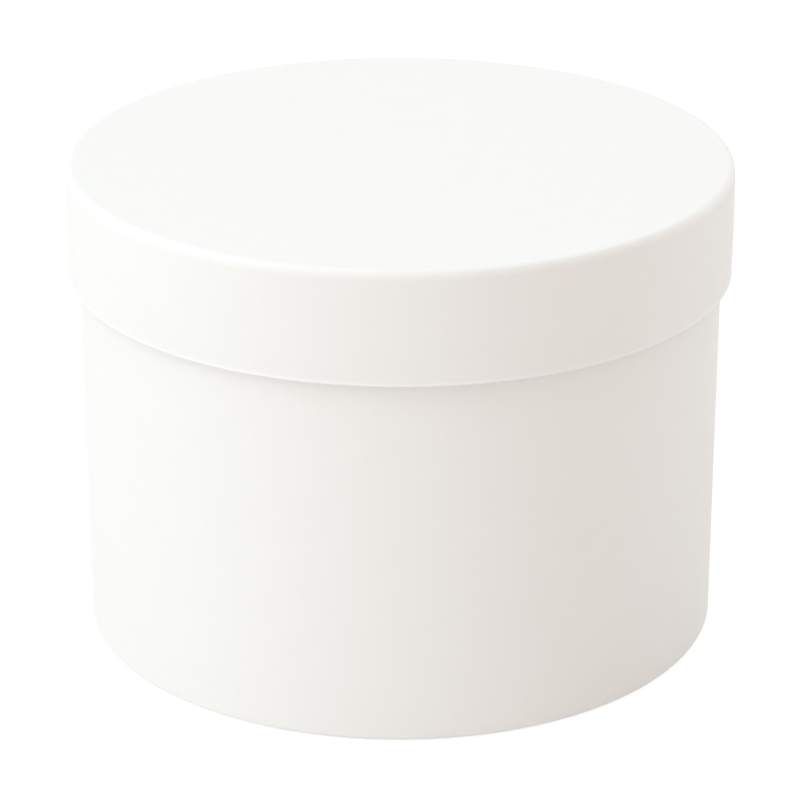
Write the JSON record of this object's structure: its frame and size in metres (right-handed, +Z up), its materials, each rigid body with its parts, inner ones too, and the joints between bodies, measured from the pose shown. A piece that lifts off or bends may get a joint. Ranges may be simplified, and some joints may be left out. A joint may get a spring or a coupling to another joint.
{
  "type": "round box with lid",
  "caption": "Round rigid paperboard box with a deep slip-over lid; holds a hat, flowers, a cake or a gift.",
  "frame": {"origin": "middle of the face that the box rests on", "axes": "+Z up along the box's axis, which is also the way the lid lifts off; the boards' butt joints are towards +Y, away from the picture's view"},
  "size_m": [0.2, 0.2, 0.146],
  "materials": {
    "wrap_paper": "smooth matt white",
    "lining_paper": "uncoated white",
    "greyboard": "raw grey board",
    "joint_tape": "kraft paper tape"
  },
  "bodies": {
    "base": {"base_wall_board": "greyboard", "base_wall_joint_tape": "joint_tape", "base_bottom_board": "greyboard", "base_outer_wrap": "wrap_paper", "base_bottom_cover": "wrap_paper", "base_wall_lining": "lining_paper", "base_floor_lining": "lining_paper"},
    "lid": {"lid_rim_board": "greyboard", "lid_rim_joint_tape": "joint_tape", "lid_top_board": "greyboard", "lid_top_cover": "wrap_paper", "lid_rim_wrap": "wrap_paper", "lid_rim_lining": "lining_paper", "lid_top_lining": "lining_paper"}
  },
  "joints": [
    {"name": "lid_lift", "type": "slide", "parent": "base", "child": "lid", "axis": [0, 0, 1], "range_m": [0, 0.18]}
  ]
}
